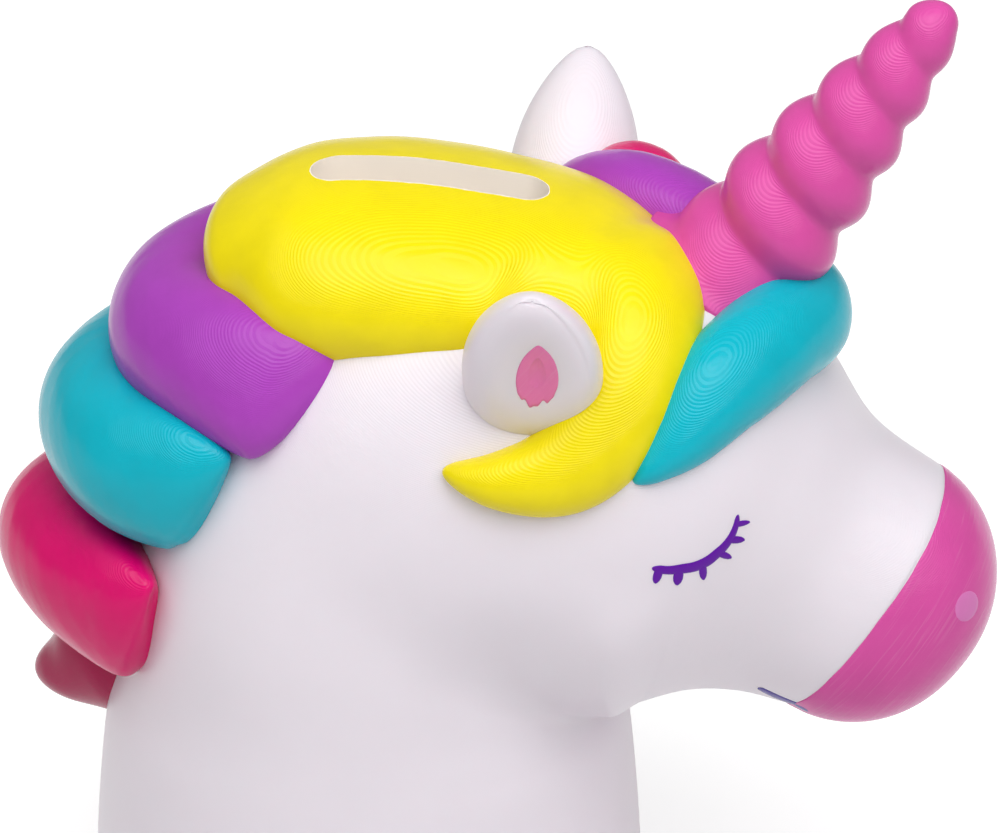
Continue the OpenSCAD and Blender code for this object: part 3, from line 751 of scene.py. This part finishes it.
CROWN_CENTRE = (15, 0, 60)
FRINGE_CENTRE = (30, 0, 112)
HIGH_CENTRE = (-6, 0, 114)
NAPE_CENTRE = (0, 0, 108)
LOW_CENTRE = (0, 0, 88)
TIP_CENTRE = (-50, 0, 10)
CROWN = [
    [-22.5, 0, 139, 12, 10.5], [-18, -1, 141.5, 19.5, 14.5], [-9.5, -1.5, 142.8, 28, 17.5],
    [4, -1.5, 144, 29.8, 17.8],
    [20, -2, 143.5, 29.5, 17], [35, -4, 142.5, 26, 15.5], [47, -11, 140.5, 18, 12.5],
    [56, -16, 137, 10, 8],
]
YELLOW_FORELOCK = [
    [43, -1, 149, 12, 6], [50, -11, 147, 13, 7.5], [52.5, -23, 141.5, 10.5, 7.5],
    [49.5, -33, 132.5, 10, 7],
    [41, -40, 124, 8.7, 6.5], [29, -43, 122, 5.4, 5.5], [18, -42.5, 123.5, 1.2, 2],
]
TEAL_FORELOCK = [
    [74, 12, 140, 9, 7.5], [78.5, 0, 136.5, 10, 8.5], [74.5, -13, 137, 9.8, 8],
    [66.5, -25.5, 134, 9.2, 7.5],
    [59, -34, 127, 6.2, 6], [52, -39.5, 121, 1.4, 2],
]
PURPLE_FORELOCK = [
    [68, 4, 143, 8, 7], [58, 12, 146, 9.5, 8.5], [47, 19, 146.5, 10.5, 9], [40, 29, 141, 10, 7.5],
    [42, 38, 131, 7.5, 6.5], [45, 42, 121, 2, 2.5],
]
MAGENTA_FORELOCK = [
    [55, 20, 143, 8, 8], [46, 29, 143.5, 9, 9.5], [43, 37, 135, 9, 8.5], [41, 42, 124, 7, 6],
    [39, 44, 114, 2, 2.5],
]
PURPLE_MANE = both_sides([
    [-4, -31, 128.6, 12, 3], [-11.5, -28.6, 130.5, 13.6, 7.6], [-21.5, -21, 131, 13.8, 11.4],
    [-31, -8, 129.8, 13.6, 12.8],
])
TEAL_MANE = both_sides([
    [-22, -32.8, 109.5, 10.5, 3.5], [-29, -30, 111, 12.8, 7.5], [-38, -20.5, 110.5, 14, 12],
    [-44, -6, 110, 15, 14],
])
MAGENTA_MANE = both_sides([
    [-34.5, -29.5, 81, 12.5, 4], [-39.5, -27, 82.2, 14, 8], [-47, -16, 83, 14, 12.5],
    [-51.8, -4, 84, 14.5, 15],
])
MANE_TIP = [
    [-40, 1, 60, 12, 13], [-46, 1, 58.5, 12, 13], [-50.5, 1.5, 56.5, 10.5, 12],
    [-56, 2, 53.7, 7.5, 7.6],
    [-61, 2.5, 52.4, 4.4, 4.2], [-63.6, 2.5, 52, 1.5, 1.5],
]

# Node: steps, centre, blunt ends, paint, slant, square.
LOCKS = {
    "teal_forelock": (TEAL_FORELOCK, FRINGE_CENTRE, (0.9, 0.4), "teal", 0, False),
    "purple_forelock": (PURPLE_FORELOCK, FRINGE_CENTRE, (0.8, 0.4), "purple", 0, False),
    "magenta_forelock": (MAGENTA_FORELOCK, FRINGE_CENTRE, (0.8, 0.4), "magenta", 0, False),
    "purple_mane": (PURPLE_MANE, HIGH_CENTRE, (0.9, 0.9), "purple", 0.3, False),
    "teal_mane": (TEAL_MANE, NAPE_CENTRE, (0.6, 0.6), "teal", 0.2, True),
    "magenta_mane": (MAGENTA_MANE, LOW_CENTRE, (0.6, 0.6), "magenta", 0, True),
    # The tip takes the darker magenta: painted shade for where it hangs behind the neck.
    "mane_tip": (MANE_TIP, TIP_CENTRE, (0.2, 0.3), "magenta_dark", 0, False),
}

HAIR_VOXEL = 0.6
HAIR_FILLET = 6
HAIR_SMOOTHING = 24


def grown_together(piece):
    """One smooth skin: the piece swells by the fillet's radius, is made one voxel skin and shrinks back,
    which fills every crease narrower than that radius, and is then smoothed."""
    for move in (HAIR_FILLET, -HAIR_FILLET, 0):
        skin = piece.modifiers.new("skin", "REMESH")
        skin.mode = "VOXEL"
        skin.voxel_size = HAIR_VOXEL * MM
        ease = piece.modifiers.new("ease", "SMOOTH")
        ease.factor = 0.5
        ease.iterations = HAIR_SMOOTHING
        if move:
            swell = piece.modifiers.new("swell", "DISPLACE")
            swell.strength = move * MM
            swell.mid_level = 0
    return bake(piece)


def yellow_hair(size):
    """The crown lock and the near forelock grown together, with the slot cut through."""
    crown = lock("yellow_hair", CROWN, CROWN_CENTRE, (0.9, 0.9), 144)
    forelock = lock("forelock", YELLOW_FORELOCK, FRINGE_CENTRE, (0.8, 0.5))
    carve(crown, forelock, operation="UNION")
    return crisp(carve(grown_together(crown), slot_prism(size)), 35)


# ---- Finishes ----
# Widths and heights of patterns are in millimetres.

# Bare vinyl of the slot's walls, in a paler, warmer white than the vinyl: painted light, a glow standing in
# for light shining through the thin wall.
SLOT_WALL_PAINTED_GLOW = "#FFF6EA"
LAYER_AXIS = tuple(unit(np.array([0.08, -0.62, 0.78])))
LAYER_SEEN = (0.62, 0.9)
LAYER_EDGE = (0.3, 0.5)
RIPPLE_WIDE = 6
TEXTURE_WIDE = 0.8
CLOUD_WIDE = 30
BRUSH_WIDE = 9
BUBBLE_APART = 5
BUBBLE_WIDE = 0.045
BUBBLE_SHARE = 0.05
EDGE_WIDE = 2.2
EDGE_SHAKE = 0.5
EDGE_IN = 0.1
STREAK_WIDE = 0.5
STREAK_LONG = 14
STREAK_HIGH = 0.05
STREAK_SEEN = (0.52, 0.8, 0.13)
GRAIN_WIDE = 0.4
GRAIN_HIGH = 0.01
SMOOTH = {"interpolation_type": "SMOOTHSTEP"}


def add(tree, kind, settings=None, **links):
    """Adds a node with its settings. A link that is given a node takes that node's first socket."""
    node = tree.nodes.new(f"ShaderNode{kind}")
    for name, value in (settings or {}).items():
        setattr(node, name, value)
    for name, value in links.items():
        socket = node.inputs[int(name[1:]) if name[1:].isdigit() else name.replace("_", " ")]
        value = value.outputs[0] if isinstance(value, bpy.types.Node) else value
        if isinstance(value, bpy.types.NodeSocket):
            tree.links.new(value, socket)
        else:
            socket.default_value = value
    return node


def new_material(name):
    material = bpy.data.materials.new(name)
    material.use_nodes = True
    material.node_tree.nodes.clear()
    return material, material.node_tree


def shade(base, part=1.0):
    return (*(c * part for c in base), 1)


def layer_lines(tree, where, pitch):
    """The steps of a printed master: height = a saw of the distance along the layer axis, in layers. They
    show where the skin faces along that axis, as elsewhere they are too close together to see."""
    dot = add(tree, "VectorMath", {"operation": "DOT_PRODUCT"}, _0=where["Object"], _1=LAYER_AXIS)
    count = add(tree, "Math", {"operation": "DIVIDE"}, _0=dot.outputs["Value"], _1=pitch * MM)
    wave = add(tree, "Math", {"operation": "PINGPONG"}, _0=count, _1=0.5)
    facing = add(tree, "VectorMath", {"operation": "DOT_PRODUCT"}, _0=where["Normal"], _1=LAYER_AXIS)
    low, high = LAYER_SEEN
    seen = add(tree, "MapRange", SMOOTH, Value=facing.outputs["Value"], From_Min=low, From_Max=high)
    return add(tree, "Math", {"operation": "MULTIPLY"}, _0=wave, _1=seen)


def layer_edges(tree, where, pitch):
    """Fine darker lines on the edge of each layer, seen where the layers show."""
    low, high = LAYER_EDGE
    return add(tree, "MapRange", SMOOTH, Value=layer_lines(tree, where, pitch), From_Min=low, From_Max=high)


def surface_bump(tree, where, pitch, layers, ripples):
    """Bump of the layer steps, with slow ripples and the fine texture that brush or mould leaves."""
    slow = add(tree, "TexNoise", None, Vector=where["Object"], Scale=1 / (RIPPLE_WIDE * MM), Detail=2.0)
    fine = add(tree, "TexNoise", None, Vector=where["Object"], Scale=1 / (TEXTURE_WIDE * MM), Detail=3.0)
    heights = [(layer_lines(tree, where, pitch), layers), (slow, ripples * 4), (fine, ripples * 0.35)]
    under = {}
    for height, high in heights:
        bump = add(tree, "Bump", None, Strength=1.0, Distance=high * MM, Height=height, **under)
        under = {"Normal": bump}
    return bump


def mottled(tree, where, wide, detail, spread, dark, base):
    """The base colour, as much darker as dark says where slow noise is low."""
    cloud = add(tree, "TexNoise", None, Vector=where["Object"], Scale=1 / (wide * MM), Detail=detail)
    tone = add(tree, "ValToRGB", None, Fac=cloud)
    low, high = tone.color_ramp.elements
    low.position, high.position = 0.5 - spread, 0.5 + spread
    low.color, high.color = shade(base, dark), shade(base)
    return tone


def specks(tree, where):
    """Dark dots, each a burst bubble in the paint: 1 inside a cell's dot, only in the few cells picked."""
    cells = add(tree, "TexVoronoi", None, Vector=where["Object"], Scale=1 / (BUBBLE_APART * MM))
    dot = add(tree, "Math", {"operation": "LESS_THAN"}, _0=cells, _1=BUBBLE_WIDE)
    pick = add(tree, "SeparateColor", None, Color=cells.outputs["Color"])
    few = add(tree, "Math", {"operation": "LESS_THAN"}, _0=pick, _1=BUBBLE_SHARE)
    return add(tree, "Math", {"operation": "MULTIPLY"}, _0=dot, _1=few)


def finish_tree(tree, shader):
    add(tree, "OutputMaterial", None, Surface=shader)


def vinyl(paint):
    """Rotationally moulded soft PVC: satin, a little light passes into it and comes out warm."""
    material, tree = new_material("soft_vinyl_moulded_white")
    where = add(tree, "TexCoord").outputs
    tone = mottled(tree, where, CLOUD_WIDE, 2.0, 0.2, 0.97, paint.vinyl)
    bump = surface_bump(tree, where, paint.layer / MM, 0.06, 0.02)
    finish_tree(tree, add(
        tree, "BsdfPrincipled", {"subsurface_method": "RANDOM_WALK"},
        Base_Color=tone, Roughness=0.34, IOR=1.53, Normal=bump, Specular_IOR_Level=0.4,
        Subsurface_Weight=0.25, Subsurface_Radius=(1.0, 0.75, 0.8), Subsurface_Scale=2.5 * MM,
    ))
    return material


def slot_mask(tree, where, size):
    """1 on the slot's walls and in the hollow crown, the bare vinyl that gets a painted glow: distance to the
    slot's middle bar under its radius.
    """
    part = add(tree, "SeparateXYZ", None, Vector=where["Object"])
    x = add(tree, "Math", {"operation": "SUBTRACT"}, _0=part, _1=SLOT_MID[0] * MM)
    x = add(tree, "Math", {"operation": "ABSOLUTE"}, _0=x)
    bar = (size.slot_length - size.slot_width) / 2 * MM
    x = add(tree, "Math", {"operation": "SUBTRACT"}, _0=x, _1=bar)
    x = add(tree, "Math", {"operation": "MAXIMUM"}, _0=x, _1=0.0)
    y = add(tree, "Math", {"operation": "SUBTRACT"}, _0=part.outputs[1], _1=SLOT_MID[1] * MM)
    flat = add(tree, "CombineXYZ", None, X=x, Y=y)
    reach = add(tree, "VectorMath", {"operation": "LENGTH"}, _0=flat)
    shake = add(tree, "TexNoise", None, Vector=where["Object"], Scale=1 / (EDGE_WIDE * MM), Detail=3.0)
    inner = (size.slot_width / 2 - EDGE_IN) * MM
    edge = add(tree, "Math", {"operation": "MULTIPLY_ADD"}, _0=shake, _1=EDGE_SHAKE * MM, _2=inner)
    return add(tree, "Math", {"operation": "LESS_THAN"}, _0=reach.outputs["Value"], _1=edge)


def streaks(tree, where):
    """Brush marks that follow the paint line: noise that is narrow along the snout and long square to it."""
    turn = (0, math.radians(90 - SNOUT_TILT), 0)
    turned = add(tree, "Mapping", {"vector_type": "TEXTURE"}, Vector=where["Object"], Rotation=turn)
    long, fine = 1 / (STREAK_LONG * MM), 1 / (STREAK_WIDE * MM)
    drawn = add(tree, "VectorMath", {"operation": "MULTIPLY"}, _0=turned, _1=(fine, long, long))
    return add(tree, "TexNoise", None, Vector=drawn, Scale=1.0, Detail=3.0, Distortion=0.4)


def enamel(name, base, paint, size=None, rough=0.24, brushed=False):
    """Acrylic enamel brushed on by hand: glossy, with the master's layers and burst bubbles in it."""
    material, tree = new_material(name)
    where = add(tree, "TexCoord").outputs
    pitch = paint.layer / MM
    seen = mottled(tree, where, BRUSH_WIDE, 4.0, 0.18, 0.93, base)
    coats = [(layer_edges(tree, where, pitch), shade(base, 0.95)), (specks(tree, where), shade(base, 0.35))]
    if size:
        # The slot's walls are bare vinyl, given the paler, warmer white of painted light for the glow through
        # them.
        coats.append((slot_mask(tree, where, size), shade(linear(SLOT_WALL_PAINTED_GLOW))))
    bump = surface_bump(tree, where, pitch, 0.09, 0.03)
    if brushed:
        marks = streaks(tree, where)
        bump = add(tree, "Bump", None, Strength=1.0, Distance=STREAK_HIGH * MM, Height=marks, Normal=bump)
        low, high, most = STREAK_SEEN
        thin = add(tree, "MapRange", SMOOTH, Value=marks, From_Min=low, From_Max=high, To_Max=most)
        coats.append((thin, shade(lerp(np.array(base), np.array(paint.vinyl), 0.6))))
    for mask, over in coats:
        seen = add(tree, "Mix", {"data_type": "RGBA"}, _0=mask, _6=seen, _7=over).outputs[2]
    finish_tree(tree, add(
        tree, "BsdfPrincipled", None,
        Base_Color=seen, Roughness=rough, IOR=1.49, Normal=bump, Specular_IOR_Level=0.22,
    ))
    return material


def polythene(paint):
    """Injection moulded polythene: dark, satin and faintly grained."""
    material, tree = new_material("polythene_moulded_dark")
    where = add(tree, "TexCoord").outputs
    grain = add(tree, "TexNoise", None, Vector=where["Object"], Scale=1 / (GRAIN_WIDE * MM), Detail=2.0)
    bump = add(tree, "Bump", None, Strength=1.0, Distance=GRAIN_HIGH * MM, Height=grain)
    finish_tree(tree, add(
        tree, "BsdfPrincipled", None, Base_Color=shade(paint.stopper), Roughness=0.42, IOR=1.51, Normal=bump,
    ))
    return material


def once(name, make, *args, **more):
    """The finish of that name, made the first time it is asked for."""
    return bpy.data.materials.get(name) or make(*args, **more)


# ---- Operators ----


class Settings:
    """What every operator reads: the sizes in millimetres and the paints."""

    def read(self, context):
        scene = context.scene
        self.head, self.horn = in_mm(scene.bank_head), in_mm(scene.bank_horn)
        self.paint = scene.bank_paint
        self.film = self.paint.film / MM
        self.white = once("soft_vinyl_moulded_white", vinyl, self.paint)

    def painted(self, code, part="", **more):
        name = f"acrylic_enamel_brushed_{code}{part}"
        return once(name, enamel, name, tuple(getattr(self.paint, code)), self.paint, **more)

    def both(self, near, slot, material, node, far_node=None):
        """Mounts a piece of the near side, and its mirror image on the far side."""
        far = mirrored(near, near.name.replace("right", "left"))
        mount(far, slot, material, *([far_node] if far_node else []))
        mount(near, slot, material, node)


class BANK_OT_head(Settings, bpy.types.Operator):
    """The hollow skin of neck and head"""

    bl_idname = "bank.head"
    bl_label = "Head Skin"

    def execute(self, context):
        self.read(context)
        mount(head_shell(self.head), "white_vinyl", self.white, "head_shell", "neck_shell")
        return {"FINISHED"}


class BANK_OT_face(Settings, bpy.types.Operator):
    """The paint of muzzle, eyes, nostrils and mouth"""

    bl_idname = "bank.face"
    bl_label = "Face Paint"

    def execute(self, context):
        self.read(context)
        skin = bpy.data.objects["head_skin"]
        streaky = self.painted("pink", part="_streaky", brushed=True)
        mount(muzzle_film(self.head, self.film), "pink_paint", streaky, "muzzle")
        lids, nostril, smile = face_marks(self.head, self.film, skin)
        lash, dark = self.painted("lash", rough=0.35), self.painted("mouth")
        pale = self.painted("nostril_pink")
        self.both(lids, "lash_paint", lash, "eye_right", "eye_left")
        self.both(nostril, "nostril_paint", pale, "nostril_right", "nostril_left")
        self.both(smile, "mouth_paint", dark, "mouth")
        return {"FINISHED"}


class BANK_OT_ears(Settings, bpy.types.Operator):
    """Both ears with their dimples and the paint inside"""

    bl_idname = "bank.ears"
    bl_label = "Ears"

    def execute(self, context):
        self.read(context)
        near = ear(self.horn)
        leaf = inner_ear(self.horn, self.film, near)
        pink = self.painted("ear_pink", rough=0.35, brushed=True)
        self.both(near, "white_vinyl", self.white, "ear_right", "ear_left")
        self.both(leaf, "inner_ear_paint", pink, "inner_ear_right", "inner_ear_left")
        return {"FINISHED"}


class BANK_OT_horn(Settings, bpy.types.Operator):
    """The wound horn"""

    bl_idname = "bank.horn"
    bl_label = "Horn"

    def execute(self, context):
        self.read(context)
        mount(horn(self.head, self.horn), "pink_paint", self.painted("pink"), "horn")
        return {"FINISHED"}


class BANK_OT_hair(Settings, bpy.types.Operator):
    """Crown, forelocks and mane"""

    bl_idname = "bank.hair"
    bl_label = "Hair"

    def execute(self, context):
        self.read(context)
        yellow = self.painted("yellow", size=self.head)
        mount(yellow_hair(self.head), "yellow_paint", yellow, "crown_lock", "yellow_forelock")
        for seed, (node, row) in enumerate(LOCKS.items()):
            steps, centre, blunt, code, slant, square = row
            piece = lock(f"{node}_hair", steps, centre, blunt, seed=seed, slant=slant, square=square)
            if node == "mane_tip":
                crisp(grown_together(piece), 35)
            # The mane tip's darker magenta is painted shade for where it hangs behind the neck.
            slot = "dark_magenta_paint" if code == "magenta_dark" else f"{code}_paint"
            mount(piece, slot, self.painted(code), node)
        return {"FINISHED"}


class BANK_OT_stopper(Settings, bpy.types.Operator):
    """The finish of the stopper and its tab"""

    bl_idname = "bank.stopper"
    bl_label = "Stopper"

    def execute(self, context):
        self.read(context)
        dark = once("polythene_moulded_dark", polythene, self.paint)
        for node in ("stopper", "stopper_tab"):
            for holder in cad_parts[node].material_slots:
                holder.material = dark
        return {"FINISHED"}


VIEW_TARGET = np.array([24.8, 0, 111.5])
VIEW_DISTANCE = 900
VIEW_LENS = 180
FLOOR_COLOUR = "#D9D9D9"
FLOOR_LIFT = 0.62
FLOOR_DOWN = 0.1
WHITE = (1, 1, 1, 1)
# Lamp: azimuth, elevation, distance, width.
LAMPS = {"key": (-38, 56, 800, 600), "fill": (40, 48, 800, 600), "top": (8, 72, 1300, 700)}


class BANK_OT_studio(bpy.types.Operator):
    """Floor that is clear from below, even light, three lamps and the camera"""

    bl_idname = "bank.studio"
    bl_label = "Studio"

    def execute(self, context):
        scene, studio = context.scene, context.scene.bank_studio
        half = studio.floor_width / MM / 2
        flat = np.array([[[x, y, -FLOOR_DOWN] for y in (-half, half)] for x in (half, -half)])
        floor = sheet("floor", flat)
        # White paper: matt, it keeps the shadow, and to the camera and in gloss it is as bright as the sky.
        paper, tree = new_material("paper_sweep_white")
        rays = add(tree, "LightPath").outputs
        seen = add(tree, "Math", {"operation": "MAXIMUM"}, _0=rays["Is Camera Ray"], _1=rays["Is Glossy Ray"])
        seen = add(tree, "Math", {"operation": "MAXIMUM"}, _0=seen, _1=rays["Is Transmission Ray"])
        lift = add(tree, "Math", {"operation": "MULTIPLY"}, _0=seen, _1=FLOOR_LIFT)
        matt = add(tree, "BsdfDiffuse", None, Color=shade(linear(FLOOR_COLOUR)))
        glow = add(tree, "Emission", None, Color=WHITE, Strength=lift)
        from_above = add(tree, "AddShader", None, _0=matt, _1=glow)
        side, clear = add(tree, "NewGeometry"), add(tree, "BsdfTransparent")
        below = side.outputs["Backfacing"]
        finish_tree(tree, add(tree, "MixShader", None, _0=below, _1=from_above, _2=clear))
        floor.data.materials.append(paper)
        world = bpy.data.worlds.new("studio_sky")
        world.use_nodes = True
        even = world.node_tree.nodes["Background"].inputs
        even["Color"].default_value = WHITE
        even["Strength"].default_value = studio.sky
        scene.world = world
        for name, (azimuth, elevation, distance, wide) in LAMPS.items():
            lamp = bpy.data.lights.new(name, "AREA")
            lamp.shape = "SQUARE"
            lamp.size = wide * MM
            lamp.energy = getattr(studio, name)
            right, up, out = aimed(azimuth, elevation)
            placed(lamp, f"{name}_lamp", VIEW_TARGET + out * distance, right, up, out)
        camera = bpy.data.cameras.new("camera")
        camera.lens = VIEW_LENS
        camera.clip_end = 10
        right, up, out = aimed(VIEW_AZIMUTH, VIEW_ELEVATION)
        scene.camera = placed(camera, "camera", VIEW_TARGET + out * VIEW_DISTANCE, right, up, out)
        scene.view_settings.view_transform = "Standard"
        return {"FINISHED"}


class BANK_PT_panel(bpy.types.Panel):
    bl_label = "Money Bank"
    bl_space_type = "VIEW_3D"
    bl_region_type = "UI"
    bl_category = "Money Bank"

    def draw(self, context):
        for operator in OPERATORS:
            self.layout.operator(operator.bl_idname)


GROUPS = {
    "bank_head": BankHead,
    "bank_horn": BankHorn,
    "bank_paint": BankPaint,
    "bank_studio": BankStudio,
}
OPERATORS = [
    BANK_OT_head, BANK_OT_face, BANK_OT_ears, BANK_OT_horn, BANK_OT_hair, BANK_OT_stopper, BANK_OT_studio,
]


def register():
    for kind in (*GROUPS.values(), *OPERATORS, BANK_PT_panel):
        bpy.utils.register_class(kind)
    for name, kind in GROUPS.items():
        setattr(bpy.types.Scene, name, bpy.props.PointerProperty(type=kind))


def unregister():
    for name in GROUPS:
        delattr(bpy.types.Scene, name)
    for kind in reversed((*GROUPS.values(), *OPERATORS, BANK_PT_panel)):
        bpy.utils.unregister_class(kind)


def main():
    register()
    for operator in OPERATORS:
        group, name = operator.bl_idname.split(".")
        getattr(getattr(bpy.ops, group), name)()


if __name__ == "__main__":
    main()
